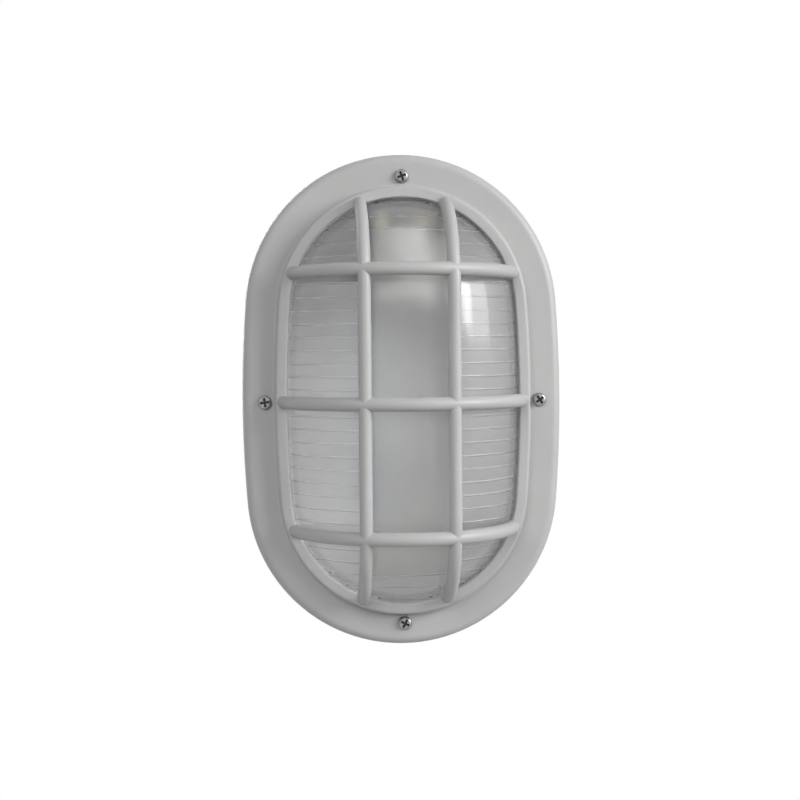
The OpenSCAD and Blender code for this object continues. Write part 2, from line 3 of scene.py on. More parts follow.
import math

import bmesh
import bpy
from mathutils import Matrix, Vector


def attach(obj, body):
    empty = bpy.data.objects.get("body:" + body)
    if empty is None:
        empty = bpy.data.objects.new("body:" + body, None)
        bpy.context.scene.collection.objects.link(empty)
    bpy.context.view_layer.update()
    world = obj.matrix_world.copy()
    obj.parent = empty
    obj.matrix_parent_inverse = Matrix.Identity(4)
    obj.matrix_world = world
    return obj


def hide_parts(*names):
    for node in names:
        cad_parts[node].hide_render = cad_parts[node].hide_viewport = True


bl_info = {
    "name": "Oval bulkhead light",
    "version": (1, 0, 0),
    "blender": (4, 5, 0),
    "location": "3D View > Sidebar > Light",
    "description": "Dresses the packed bulkhead light and sets up its stage",
    "category": "Object",
}

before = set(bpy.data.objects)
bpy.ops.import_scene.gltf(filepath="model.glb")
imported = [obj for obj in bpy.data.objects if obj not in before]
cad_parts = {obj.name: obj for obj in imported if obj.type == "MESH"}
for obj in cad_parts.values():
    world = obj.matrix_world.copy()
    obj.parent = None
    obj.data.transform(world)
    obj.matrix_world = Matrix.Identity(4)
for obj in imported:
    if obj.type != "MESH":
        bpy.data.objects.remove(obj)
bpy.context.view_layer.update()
# Points closer than this are one point
MERGE = 1e-6
# Pieces are modelled lying on their backs, as in the part's source, and then stood up on the wall
ON_WALL = Matrix.Rotation(math.radians(90), 3, "X")

# How finely the round shapes are cut
END_STEPS, SIDE_STEPS = 72, 20
DOME_STEPS, UPRIGHT_STEPS = 22, 4
HEAD_TOP_STEPS, HEAD_EDGE_STEPS, SCREW_STEPS = 5, 6, 48
FLOOR_STEPS = 96
# Edges that turn further than this stay creased, in degrees
LENS_CREASE, SCREW_CREASE = 50, 35

# Glass: how far the foot's edges are softened, the end of the strip that closes the crown, and the
# height over the foot in which the grooves run out
SOFTEN = 0.0006
CROWN_END = 0.0012
RUN_OUT = 0.002
# Where the glass is cut across a groove, and across the fade at the window's sides
GROOVE_CUTS = (-0.5, -0.25, 0.0, 0.25, 0.5)
FADE_CUTS = (0.0, 0.5, 1.0)
# A rounded groove is this much steeper halfway down than a straight-sided one
GROOVE_STEEPNESS = 1.4

# Cover screws: shares of the head's height that its edge is rounded and its top falls, of the shank
# that is straight, and of the recess that is left at its bottom
HEAD_ROUND, HEAD_FALL = 0.6, 0.06
SHANK_STRAIGHT = 0.8
RECESS_TAPER = 0.72
# How far up a face of the head looks where the recess may cut it
UPPER_FACING = 0.3
# How far each screw is driven round, in degrees
SCREW_TURNS = {"top": 20, "bottom": 62, "right": 35, "left": 8}

# Noise mostly lies in this span
NOISE = (0.3, 0.7)
IRON_SPECK = (0.25, 0.2, 0.15, 1.0)
# Painted shade for the bottom of the screws' crossed recesses
RECESS_SHADE = (0.05, 0.05, 0.05, 1.0)
WHITE = (1.0, 1.0, 1.0, 1.0)

# Each lamp's setting for its power, its size, its place, and whether shiny surfaces show it
LAMPS = {
    "key lamp": ("key_power", (1.17, 0.9), (2.20, -0.64, 0.57), True),
    "upper lamp": ("upper_power", (1.0, 1.3), (1.85, -1.25, 0.80), True),
    "fill lamp": ("fill_power", (1.4, 1.4), (-0.8, -1.95, 1.05), False),
    "back lamp": ("back_power", (1.4, 1.4), (-1.2, 1.9, 0.7), True),
}
LAMP_AIM = Vector((0, -0.05, 0))
SENSOR_WIDTH = 36.0
# The floor, and how white it is from right under the light to where the light's shadow ends
FLOOR_RADIUS = 1.0
FLOOR_GREY = (0.45, 0.45, 0.45, 1.0)
FLOOR_ROUGHNESS = 0.8
SHADOW_NEAR, SHADOW_FAR, SHADOW_WHITE = 0.1, 0.42, 0.7


def length(name, description, default):
    return bpy.props.FloatProperty(
        name=name, description=description, default=default, precision=5, unit="LENGTH")


def share(name, description, default):
    return bpy.props.FloatProperty(
        name=name, description=description, default=default, min=0.0, max=1.0, subtype="FACTOR")


def angle(name, description, degrees):
    return bpy.props.FloatProperty(
        name=name, description=description, default=math.radians(degrees), unit="ROTATION")


def power(name, description, default):
    return bpy.props.FloatProperty(
        name=name, description=description, default=default, min=0.0, unit="POWER")


def tint(name, description, default):
    return bpy.props.FloatVectorProperty(
        name=name, description=description, default=default, size=3, min=0.0, max=1.0,
        subtype="COLOR")


class OutlineSizes(bpy.types.PropertyGroup):
    """The light's oval outline"""
    half_width: length("Half width", "Half of the light's width", 0.083)
    half_length: length("Half length", "Half of the light's height", 0.1275)
    side_flat: bpy.props.FloatProperty(
        name="Flat sides", description="How flat the long sides are", default=26.0, min=2.0)


class LensSizes(bpy.types.PropertyGroup):
    """The domed glass"""
    dome_radius: length("Dome radius", "Radius of the dome's outer face across the light", 0.065299)
    dome_level: length("Dome level", "Height of the dome's centre line over the wall", 0.022601)
    crown: length("Crown", "Width of the flat strip along the crown", 0.012)
    side: length("Side", "Distance from the light's edge in to the glass's upright side", 0.0237)
    thickness: length("Thickness", "Thickness of the glass", 0.003)
    foot_level: length("Foot level", "Height of the underside of the foot over the wall", 0.038)
    foot_thickness: length("Foot thickness", "Thickness of the foot", 0.004)
    foot_edge: length("Foot edge", "Distance from the light's edge in to the foot's edge", 0.0164)
    rib_pitch: length("Rib pitch", "Distance between the ribs inside the glass", 0.0066)
    groove_width: length("Groove width", "Width of the grooves between the ribs", 0.0012)
    groove_depth: length("Groove depth", "Depth of the grooves between the ribs", 0.0004)
    window_x: length("Window half width", "Half width of the plain window", 0.021)
    window_y: length("Window half height", "Half height of the plain window", 0.078)
    window_fade: length("Window fade", "Width over which the grooves run out at the window", 0.004)


class ScrewSizes(bpy.types.PropertyGroup):
    """The cover screws"""
    inset: length("Inset", "Distance from the light's edge in to a screw", 0.0116)
    level: length("Level", "Height of the screws' seats over the wall", 0.045)
    head: length("Head", "Diameter of a head", 0.007)
    head_height: length("Head height", "Height of a head", 0.0024)
    shank: length("Shank", "Diameter of a shank", 0.0032)
    shank_length: length("Shank length", "Length of a screw under its head", 0.018)
    recess_width: length("Recess width", "Width of a wing of the crossed recess", 0.0012)
    recess_length: length("Recess length", "Length of the recess, from wing to wing", 0.0048)
    recess_depth: length("Recess depth", "Depth of the crossed recess", 0.0015)


class FinishColours(bpy.types.PropertyGroup):
    """Colours of the finishes"""
    housing: tint("Housing", "Light grey moulded plastic", (0.50, 0.50, 0.497))
    glass: tint("Glass", "Clear pressed glass", (0.885, 0.89, 0.888))
    rubber: tint("Rubber", "Black rubber", (0.028, 0.028, 0.03))
    zinc: tint("Zinc", "Zinc plated steel", (0.42, 0.42, 0.41))
    # Set darker than white porcelain, as painted shade for the lampholder inside the housing
    porcelain: tint("Porcelain", "Glazed porcelain", (0.41, 0.405, 0.39))
    brass: tint("Brass", "Dulled brass", (0.46, 0.40, 0.27))
    live: tint("Live lead", "Brown sleeve", (0.085, 0.035, 0.015))
    neutral: tint("Neutral lead", "Blue sleeve", (0.012, 0.07, 0.30))
    block: tint("Terminal block", "Off-white plastic", (0.72, 0.70, 0.63))


class StageSettings(bpy.types.PropertyGroup):
    """Camera, lamps and floor"""
    azimuth: angle("Azimuth", "How far the camera stands to the right", -4.67)
    elevation: angle("Elevation", "How far the camera stands above the middle", 2.2)
    roll: angle("Roll", "How far the camera is rolled clockwise", 0.475)
    distance: length("Distance", "From the camera to the middle of the flange", 0.70)
    view_width: length("View width", "Width of the view at the flange", 0.4150)
    aim: bpy.props.FloatVectorProperty(
        name="Aim", description="The point in the middle of the view",
        default=(-0.00160, -0.045, 0.0005), size=3, precision=5, unit="LENGTH", subtype="XYZ")
    floor_level: length("Floor level", "Height of the floor", -0.40)
    key_power: power("Key lamp", "Power of the lamp at the right", 13.0)
    upper_power: power("Upper lamp", "Power of the lamp at the upper right", 38.0)
    fill_power: power("Fill lamp", "Power of the lamp at the upper left", 26.0)
    back_power: power("Back lamp", "Power of the lamp behind the light", 36.0)
    ambient: share("Ambient", "Brightness of the room round the light", 0.05)


class LightSettings(bpy.types.PropertyGroup):
    """All that can be set on the light"""
    outline: bpy.props.PointerProperty(type=OutlineSizes)
    lens: bpy.props.PointerProperty(type=LensSizes)
    screws: bpy.props.PointerProperty(type=ScrewSizes)
    colours: bpy.props.PointerProperty(type=FinishColours)
    stage: bpy.props.PointerProperty(type=StageSettings)


# Shader nodes

def add(tree, kind, values=None, **options):
    """A node with its options set, and its sockets set to values or linked to other sockets."""
    node = tree.nodes.new(kind)
    for option, value in options.items():
        setattr(node, option, value)
    for socket, value in (values or {}).items():
        if isinstance(value, bpy.types.NodeSocket):
            tree.links.new(value, node.inputs[socket])
        else:
            node.inputs[socket].default_value = value
    return node


def mixed(tree, factor, a, b, blend="MIX"):
    """The mix of two colours."""
    node = add(tree, "ShaderNodeMix", data_type="RGBA", blend_type=blend)
    for socket, value in zip((node.inputs[0], node.inputs[6], node.inputs[7]), (factor, a, b)):
        if isinstance(value, bpy.types.NodeSocket):
            tree.links.new(value, socket)
        else:
            socket.default_value = value
    return node.outputs[2]


def spread(tree, value, low, high, to_low, to_high):
    """A value moved from one span to another."""
    return add(tree, "ShaderNodeMapRange", {
        "Value": value, "From Min": low, "From Max": high, "To Min": to_low, "To Max": to_high,
    }).outputs["Result"]


def maths(tree, operation, a, b=0.0):
    return add(tree, "ShaderNodeMath", {0: a, 1: b}, operation=operation).outputs[0]


def new_group(name, inputs, outputs):
    """An empty node group with named sockets."""
    tree = bpy.data.node_groups.new(name, "ShaderNodeTree")
    for label, kind, default in inputs:
        tree.interface.new_socket(label, in_out="INPUT", socket_type=kind).default_value = default
    for label, kind in outputs:
        tree.interface.new_socket(label, in_out="OUTPUT", socket_type=kind)
    return tree, tree.nodes.new("NodeGroupInput").outputs, tree.nodes.new("NodeGroupOutput").inputs


# What the group of each finish puts out
LOOKS = (
    ("Colour", "NodeSocketColor"), ("Roughness", "NodeSocketFloat"), ("Height", "NodeSocketFloat"))


def moulded_grain():
    """Group: the fine spark-eroded grain and the faint cloudiness of moulded plastic and rubber."""
    if "moulded grain" in bpy.data.node_groups:
        return bpy.data.node_groups["moulded grain"]
    tree, given, out = new_group("moulded grain", (
        ("Colour", "NodeSocketColor", (0.5, 0.5, 0.5, 1.0)),
        ("Cloud", "NodeSocketFloat", 0.06),
        ("Grain scale", "NodeSocketFloat", 1400.0),
        ("Roughness", "NodeSocketFloat", 0.45),
    ), LOOKS)
    at = add(tree, "ShaderNodeTexCoord").outputs["Object"]
    grain = add(tree, "ShaderNodeTexNoise", {
        "Vector": at, "Scale": given["Grain scale"], "Detail": 2.0}).outputs["Fac"]
    cloud = add(tree, "ShaderNodeTexNoise", {
        "Vector": at, "Scale": 38.0, "Detail": 5.0, "Roughness": 0.6}).outputs["Fac"]
    less = maths(tree, "SUBTRACT", 1.0, given["Cloud"])
    shade = spread(tree, cloud, *NOISE, less, 1.0)
    fleck = spread(tree, grain, *NOISE, 0.97, 1.03)
    flecked = maths(tree, "MULTIPLY", shade, fleck)
    uneven = maths(tree, "ADD", given["Roughness"], spread(tree, cloud, *NOISE, -0.04, 0.04))
    tree.links.new(mixed(tree, 1.0, given["Colour"], flecked, "MULTIPLY"), out["Colour"])
    tree.links.new(uneven, out["Roughness"])
    tree.links.new(grain, out["Height"])
    return tree


def worn_metal():
    """Group: the uneven plating and dulling of small metal pieces."""
    if "worn metal" in bpy.data.node_groups:
        return bpy.data.node_groups["worn metal"]
    tree, given, out = new_group("worn metal", (
        ("Bright", "NodeSocketColor", (0.6, 0.6, 0.6, 1.0)),
        ("Dull", "NodeSocketColor", (0.4, 0.4, 0.4, 1.0)),
        ("Scale", "NodeSocketFloat", 260.0),
        ("Roughness", "NodeSocketFloat", 0.3),
    ), LOOKS)
    at = add(tree, "ShaderNodeTexCoord").outputs["Object"]
    patch = add(tree, "ShaderNodeTexNoise", {
        "Vector": at, "Scale": given["Scale"], "Detail": 6.0, "Roughness": 0.65}).outputs["Fac"]
    scratch = add(tree, "ShaderNodeTexNoise", {"Vector": at, "Scale": 2600.0, "Detail": 2.0})
    dulled = spread(tree, patch, 0.42, 0.72, 0.0, 0.8)
    uneven = maths(tree, "ADD", given["Roughness"], spread(tree, patch, *NOISE, -0.06, 0.16))
    tree.links.new(mixed(tree, dulled, given["Bright"], given["Dull"]), out["Colour"])
    tree.links.new(uneven, out["Roughness"])
    tree.links.new(scratch.outputs["Fac"], out["Height"])
    return tree


def start_material(name):
    """A new material and its shader."""
    material = bpy.data.materials.new(name)
    material.use_nodes = True
    return material, material.node_tree, material.node_tree.nodes["Principled BSDF"]


def rgba(colour):
    return (*colour, 1.0)


def darker(colour, part):
    return [part * c for c in colour]


def use_group(tree, group, values):
    node = add(tree, "ShaderNodeGroup", node_tree=group)
    for socket, value in values.items():
        node.inputs[socket].default_value = value
    return node.outputs


def finish(tree, shader, looks, bump_strength, bump_distance):
    """Links a group's colour, roughness and height to a shader."""
    tree.links.new(looks["Colour"], shader.inputs["Base Color"])
    tree.links.new(looks["Roughness"], shader.inputs["Roughness"])
    bump = add(tree, "ShaderNodeBump", {
        "Strength": bump_strength, "Distance": bump_distance, "Height": looks["Height"]})
    tree.links.new(bump.outputs["Normal"], shader.inputs["Normal"])


def plastic(name, colour, roughness, cloud=0.06, grain=1400.0, bump=0.12, specular=0.45):
    """A moulded plastic or rubber."""
    material, tree, shader = start_material(name)
    looks = use_group(tree, moulded_grain(), {
        "Colour": rgba(colour), "Cloud": cloud, "Grain scale": grain, "Roughness": roughness})
    finish(tree, shader, looks, bump, 0.0002)
    shader.inputs["Specular IOR Level"].default_value = specular
    return material


def metal(name, bright, dull, roughness, scale=260.0, bump=0.05):
    """A plated or bare metal."""
    material, tree, shader = start_material(name)
    looks = use_group(tree, worn_metal(), {
        "Bright": rgba(bright), "Dull": rgba(dull), "Scale": scale, "Roughness": roughness})
    finish(tree, shader, looks, bump, 0.0001)
    shader.inputs["Metallic"].default_value = 1.0
    return material


def glazed_porcelain(colour):
    """White glaze over porcelain, with a few iron specks. Its colour is set darker than the white
    glaze, as painted shade for the holder inside the housing.
    """
    material, tree, shader = start_material("porcelain")
    looks = use_group(tree, moulded_grain(), {
        "Colour": rgba(colour), "Cloud": 0.1, "Grain scale": 500.0, "Roughness": 0.16})
    at = add(tree, "ShaderNodeTexCoord").outputs["Object"]
    specks = add(tree, "ShaderNodeTexVoronoi", {"Vector": at, "Scale": 260.0})
    speck = spread(tree, specks.outputs["Distance"], 0.03, 0.07, 1.0, 0.0)
    finish(tree, shader, looks, 0.03, 0.0003)
    specked = mixed(tree, speck, looks["Colour"], IRON_SPECK)
    tree.links.new(specked, shader.inputs["Base Color"])
    shader.inputs["Coat Weight"].default_value = 0.6
    shader.inputs["Coat Roughness"].default_value = 0.06
    return material


def screw_steel(colour):
    """Dull zinc plate on a driven screw, with painted shade in its recess."""
    material, tree, shader = start_material("screw_steel")
    looks = use_group(tree, worn_metal(), {
        "Bright": rgba(darker(colour, 0.78)), "Dull": rgba(darker(colour, 0.5)),
        "Scale": 420.0, "Roughness": 0.3})
    finish(tree, shader, looks, 0.05, 0.0001)
    recess = add(tree, "ShaderNodeAttribute", attribute_name="recess").outputs["Fac"]
    # The crossed recess is darkened towards its bottom as painted shade
    shaded_recess = mixed(tree, recess, looks["Colour"], RECESS_SHADE)
    tree.links.new(shaded_recess, shader.inputs["Base Color"])
    shader.inputs["Metallic"].default_value = 1.0
    return material


def pressed_glass(colour):
    """Pressed glass with a polished outside, and a matt inside that blurs what is behind it."""
    polished, matt_ribs, matt_window = 0.1, 0.4, 0.6
    stops_lamplight = 0.12
    material, tree, shader = start_material("pressed_glass")
    at = add(tree, "ShaderNodeTexCoord").outputs["Object"]
    ripple = add(tree, "ShaderNodeTexNoise", {
        "Vector": at, "Scale": 160.0, "Detail": 2.0}).outputs["Fac"]
    pebble = add(tree, "ShaderNodeTexNoise", {
        "Vector": at, "Scale": 1000.0, "Detail": 1.0}).outputs["Fac"]
    inside = add(tree, "ShaderNodeAttribute", attribute_name="inside").outputs["Fac"]
    frost = add(tree, "ShaderNodeAttribute", attribute_name="frost").outputs["Fac"]
    matt = spread(tree, frost, 0.0, 1.0, matt_ribs, matt_window)
    uneven = maths(tree, "ADD", matt, spread(tree, ripple, *NOISE, -0.04, 0.04))
    rough = spread(tree, inside, 0.0, 1.0, polished, uneven)
    tree.links.new(rough, shader.inputs["Roughness"])
    faint = spread(tree, ripple, *NOISE, 0.97, 1.0)
    tree.links.new(
        mixed(tree, 1.0, rgba(colour), faint, "MULTIPLY"), shader.inputs["Base Color"])
    coarse = maths(tree, "MULTIPLY", pebble, inside)
    height = maths(tree, "ADD", coarse, maths(tree, "MULTIPLY", ripple, 0.3))
    bump = add(tree, "ShaderNodeBump", {"Strength": 0.12, "Distance": 0.0004, "Height": height})
    tree.links.new(bump.outputs["Normal"], shader.inputs["Normal"])
    # Lamps shine through to what is behind the glass
    to_lamp = add(tree, "ShaderNodeLightPath").outputs["Is Shadow Ray"]
    tree.links.new(spread(tree, to_lamp, 0.0, 1.0, 1.0, stops_lamplight), shader.inputs["Alpha"])
    shader.inputs["Transmission Weight"].default_value = 0.95
    shader.inputs["IOR"].default_value = 1.48
    return material


# Pieces

def dress(node, material):
    """Gives a CAD node that keeps its shape its material."""
    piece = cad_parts[node]
    piece.data.materials.clear()
    piece.data.materials.append(material)


def make_piece(bm, name, material, slot, *nodes):
    """Stands a finished mesh on the wall and lets it stand for its CAD nodes."""
    if not all(edge.is_manifold for edge in bm.edges):
        raise RuntimeError(name + " isn't closed")
    bmesh.ops.rotate(bm, cent=(0, 0, 0), matrix=ON_WALL, verts=bm.verts)
    mesh = bpy.data.meshes.new(name)
    bm.to_mesh(mesh)
    bm.free()
    if "true normal" in mesh.attributes:
        true = [ON_WALL @ v.vector for v in mesh.attributes["true normal"].data]
        mesh.normals_split_custom_set([true[loop.vertex_index] for loop in mesh.loops])
    mesh.materials.append(material)
    piece = bpy.data.objects.new(name, mesh)
    bpy.context.scene.collection.objects.link(piece)
    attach(piece, "root")
    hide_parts(*nodes)


def shade_smooth(bm, sharp_degrees):
    """Smooth faces, with a crease where two of them meet at more than an angle."""
    limit = math.radians(sharp_degrees)
    for face in bm.faces:
        face.smooth = True
    for edge in bm.edges:
        edge.smooth = len(edge.link_faces) != 2 or edge.calc_face_angle() < limit


class Oval:
    """The light's outline: two end arcs and two long side arcs that meet without a corner."""

    def __init__(self, sizes):
        spare = sizes.half_length - sizes.half_width
        self.half_width = sizes.half_width
        self.end_y = spare * sizes.side_flat / (sizes.side_flat - 1)
        self.far_x = spare * (sizes.side_flat + 1) / 2
        self.end_r = sizes.half_length - self.end_y
        self.side_r = sizes.half_width + self.far_x
        self.turn = math.atan2(self.end_y, self.far_x)

    def depth(self, x, y):
        """How far in from the light's edge a point lies."""
        x, y = abs(x), abs(y)
        if math.atan2(y - self.end_y, x) >= self.turn:
            return self.end_r - math.hypot(x, y - self.end_y)
        return self.side_r - math.hypot(x + self.far_x, y)

    def dome_normal(self, co, radius, crown):
        """Which way a dome over the outline faces, with a flat strip along its crown."""
        x, y = abs(co.x), abs(co.y)
        if math.atan2(y - self.end_y, x) >= self.turn:
            away = Vector((x, y - self.end_y, 0))
        else:
            away = Vector((x + self.far_x, y, 0))
        out = away.normalized() if away.length > MERGE else Vector()
        out = Vector((math.copysign(out.x, co.x), math.copysign(out.y, co.y), 0))
        from_middle = self.half_width - self.depth(co.x, co.y)
        lean = min(1.0, max(0.0, from_middle / radius))
        lean *= smooth_step(from_middle, crown / 2, crown)
        return (out * lean + Vector((0, 0, math.sqrt(1 - lean ** 2)))).normalized()

    def carry(self, bm, profile, end_steps, side_steps):
        """Spins a profile round the outline. Its points are (distance in from the edge, height)."""
        ends, sides = math.pi - 2 * self.turn, 2 * self.turn
        arcs = (
            (Vector((0, self.end_y, 0)), self.end_r, self.turn, ends, end_steps),
            (Vector((self.far_x, 0, 0)), self.side_r, math.pi - self.turn, sides, side_steps),
            (Vector((0, -self.end_y, 0)), self.end_r, math.pi + self.turn, ends, end_steps),
            (Vector((-self.far_x, 0, 0)), self.side_r, -self.turn, sides, side_steps),
        )
        for centre, radius, start, sweep, steps in arcs:
            way = Vector((math.cos(start), math.sin(start), 0))
            points = [centre + way * (radius - depth) + Vector((0, 0, z)) for depth, z in profile]
            verts = [bm.verts.new(point) for point in points]
            edges = [bm.edges.new(pair) for pair in zip(verts, verts[1:])]
            bmesh.ops.spin(
                bm, geom=verts + edges, cent=centre, axis=(0, 0, 1), angle=sweep, steps=steps)
        bmesh.ops.remove_doubles(bm, verts=bm.verts, dist=MERGE)


def glass_face(oval, lens, deep, foot):
    """Points up a face this deep in the glass: an upright side, then an arc to the crown."""
    side = lens.side + deep
    radius = lens.dome_radius - deep
    crown = lens.dome_level + math.sqrt(lens.dome_radius ** 2 - lens.crown ** 2 / 4) - deep
    first = math.acos((oval.half_width - side) / radius)
    last = math.asin((crown - lens.dome_level) / radius)
    angles = [first + (last - first) * i / DOME_STEPS for i in range(DOME_STEPS + 1)]
    arc = [(oval.half_width - radius * math.cos(a), lens.dome_level + radius * math.sin(a))
           for a in angles]
    rise = (arc[0][1] - foot) / UPRIGHT_STEPS
    return [(side, foot + rise * i) for i in range(UPRIGHT_STEPS)] + arc


def cut_across(bm, layer, axis, level):
    """Cuts the marked faces along one level of an axis, so that they have an edge there."""
    def crosses(face):
        places = [v.co[axis] for v in face.verts]
        return min(places) < level < max(places)

    faces = [f for f in bm.faces if f[layer] and crosses(f)]
    edges = list({e for f in faces for e in f.edges})
    verts = list({v for f in faces for v in f.verts})
    normal = Vector((0, 0, 0))
    normal[axis] = 1
    bmesh.ops.bisect_plane(
        bm, geom=faces + edges + verts, dist=MERGE, plane_co=normal * level, plane_no=normal)


def smooth_step(value, low, high):
    t = min(1.0, max(0.0, (value - low) / (high - low)))
    return t * t * (3 - 2 * t)


def glass_shell(oval, lens):
    """The smooth glass: a dome with a flat foot, closed along its crown."""
    bm = bmesh.new()
    foot_top = lens.foot_level + lens.foot_thickness
    middle = oval.end_r - CROWN_END
    outside = glass_face(oval, lens, 0.0, foot_top + SOFTEN)
    inside = glass_face(oval, lens, lens.thickness, lens.foot_level)
    foot = [
        (lens.side - SOFTEN, foot_top), (lens.foot_edge + SOFTEN, foot_top),
        (lens.foot_edge, foot_top - SOFTEN), (lens.foot_edge, lens.foot_level + SOFTEN),
        (lens.foot_edge + SOFTEN, lens.foot_level),
    ]
    crowns = [(middle, outside[-1][1])], [(middle, inside[-1][1])]
    profile = crowns[0] + outside[::-1] + foot + inside + crowns[1]
    oval.carry(bm, profile, END_STEPS, SIDE_STEPS)
    bmesh.ops.edgeloop_fill(bm, edges=[e for e in bm.edges if e.is_boundary])
    bmesh.ops.recalc_face_normals(bm, faces=bm.faces)
    return bm


def is_inside(oval, lens, co):
    """Whether a point of the glass lies on its inner face."""
    half = lens.thickness / 2
    depth = oval.depth(co.x, co.y)
    away = math.hypot(oval.half_width - depth, co.z - lens.dome_level)
    above_foot = co.z > lens.foot_level + MERGE
    return depth > lens.side + half and away < lens.dome_radius - half and above_foot


def cut_grooves(bm, oval, lens):
    """Cuts the inner face along the grooves, and along the sides of the plain window."""
    marked = bm.faces.layers.int.new("marked")
    for face in bm.faces:
        face[marked] = all(is_inside(oval, lens, v.co) for v in face.verts)
    count = int((oval.end_y + oval.end_r - lens.side) / lens.rib_pitch)
    for i in range(-count, count + 1):
        for part in GROOVE_CUTS:
            cut_across(bm, marked, 1, i * lens.rib_pitch + part * lens.groove_width)
    for side in (-1, 1):
        for part in FADE_CUTS:
            cut_across(bm, marked, 0, side * (lens.window_x + part * lens.window_fade))
    bm.faces.layers.int.remove(marked)


def press_grooves(bm, oval, lens):
    """Sinks the grooves into the inner face, and notes where it is matt and which way it faces."""
    foot_top = lens.foot_level + lens.foot_thickness
    fade = lens.window_fade
    slope = GROOVE_STEEPNESS * 2 * lens.groove_depth / lens.groove_width
    normal_layer = bm.verts.layers.float_vector.new("true normal")
    inside_layer = bm.verts.layers.float.new("inside")
    frost_layer = bm.verts.layers.float.new("frost")
    moves = []
    for vert in bm.verts:
        if not is_inside(oval, lens, vert.co):
            continue
        across = 1 - smooth_step(abs(vert.co.x), lens.window_x, lens.window_x + fade)
        along = 1 - smooth_step(abs(vert.co.y), lens.window_y, lens.window_y + 2 * fade)
        plain = across * along
        vert[inside_layer] = 1.0
        vert[frost_layer] = plain
        offset = vert.co.y - round(vert.co.y / lens.rib_pitch) * lens.rib_pitch
        away = abs(offset)
        above_foot = smooth_step(vert.co.z, foot_top, foot_top + RUN_OUT)
        ribbed = (1 - plain) * above_foot
        into_cavity = -oval.dome_normal(vert.co, lens.dome_radius - lens.thickness, lens.crown)
        groove = max(0.0, 1 - 2 * away / lens.groove_width)
        moves.append((vert, -into_cavity * lens.groove_depth * groove * ribbed))
        # A groove is steepest halfway down, and runs out smoothly at its edges and its bottom
        steep = slope * ribbed * max(0.0, 1 - abs(4 * away / lens.groove_width - 1))
        up_slope = -math.copysign(steep, offset)
        uphill = Vector((0, 1, 0)) - into_cavity * into_cavity.y
        if above_foot > 0.5:
            vert[normal_layer] = (into_cavity + uphill * up_slope).normalized()
    for vert, move in moves:
        vert.co += move


def ribbed_lens(oval, lens):
    """The glass, with grooves between the ribs on its inside."""
    bm = glass_shell(oval, lens)
    cut_grooves(bm, oval, lens)
    # Creases come first, so that the grooves have none
    bm.normal_update()
    shade_smooth(bm, LENS_CREASE)
    press_grooves(bm, oval, lens)
    return bm


def cover_screw(screws):
    """A pan-head screw seated at z = 0: a low dome with a crossed recess, on a pointed shank."""
    bm = bmesh.new()
    high = screws.head_height
    edge = HEAD_ROUND * high
    flat = screws.head / 2 - edge
    shank = screws.shank / 2
    outward = [i / HEAD_TOP_STEPS for i in range(HEAD_TOP_STEPS + 1)]
    top = [(flat * t, high * (1 - HEAD_FALL * t ** 2)) for t in outward]
    turns = [math.radians(90 - 90 * i / HEAD_EDGE_STEPS) for i in range(1, HEAD_EDGE_STEPS + 1)]
    rounding = [
        (flat + edge * math.cos(a), (1 - HEAD_FALL) * (high - edge + edge * math.sin(a)))
        for a in turns]
    below = [
        (screws.head / 2, 0.0), (shank, 0.0),
        (shank, -SHANK_STRAIGHT * screws.shank_length), (0.0, -screws.shank_length)]
    verts = [bm.verts.new((x, 0, z)) for x, z in top + rounding + below]
    edges = [bm.edges.new(pair) for pair in zip(verts, verts[1:])]
    bmesh.ops.spin(
        bm, geom=verts + edges, cent=(0, 0, 0), axis=(0, 0, 1), angle=2 * math.pi,
        steps=SCREW_STEPS, use_merge=True)
    bmesh.ops.remove_doubles(bm, verts=bm.verts, dist=MERGE)
    bmesh.ops.recalc_face_normals(bm, faces=bm.faces)

    wide, far = screws.recess_width / 2, screws.recess_length / 2
    upper = bm.faces.layers.int.new("upper")
    recess = bm.verts.layers.float.new("recess")
    for face in bm.faces:
        face[upper] = face.normal.z > UPPER_FACING
    for axis in (0, 1):
        for level in (-far, -wide, wide, far):
            cut_across(bm, upper, axis, level)

    def in_cross(co):
        x, y = sorted((abs(co.x), abs(co.y)))
        return x < wide and y < far

    cross = [f for f in bm.faces if f[upper] and in_cross(f.calc_center_median())]
    sunk = bmesh.ops.extrude_face_region(bm, geom=cross)["geom"]
    bottom = high - screws.recess_depth
    # The recess's floor is marked for the painted shade that screw_steel puts in it
    for vert in sunk:
        if isinstance(vert, bmesh.types.BMVert):
            vert.co = (RECESS_TAPER * vert.co.x, RECESS_TAPER * vert.co.y, bottom)
            vert[recess] = 1.0
    bmesh.ops.delete(bm, geom=cross, context="FACES")
    bm.faces.layers.int.remove(upper)
    bmesh.ops.recalc_face_normals(bm, faces=bm.faces)
    shade_smooth(bm, SCREW_CREASE)
    return bm


def cover_screws(oval, screws):
    """The four cover screws, each turned its own way."""
    bm = cover_screw(screws)
    first = bm.verts[:] + bm.edges[:] + bm.faces[:]
    high = oval.end_y + oval.end_r - screws.inset
    wide = oval.half_width - screws.inset
    places = {"top": (0, high), "bottom": (0, -high), "right": (wide, 0), "left": (-wide, 0)}
    for side, place in places.items():
        copy = bmesh.ops.duplicate(bm, geom=first)["geom"]
        verts = [v for v in copy if isinstance(v, bmesh.types.BMVert)]
        turn = Matrix.Rotation(math.radians(SCREW_TURNS[side]), 3, "Z")
        bmesh.ops.rotate(bm, cent=(0, 0, 0), matrix=turn, verts=verts)
        bmesh.ops.translate(bm, vec=(*place, screws.level), verts=verts)
    pattern = [v for v in first if isinstance(v, bmesh.types.BMVert)]
    bmesh.ops.delete(bm, geom=pattern, context="VERTS")
    return bm


# Operators

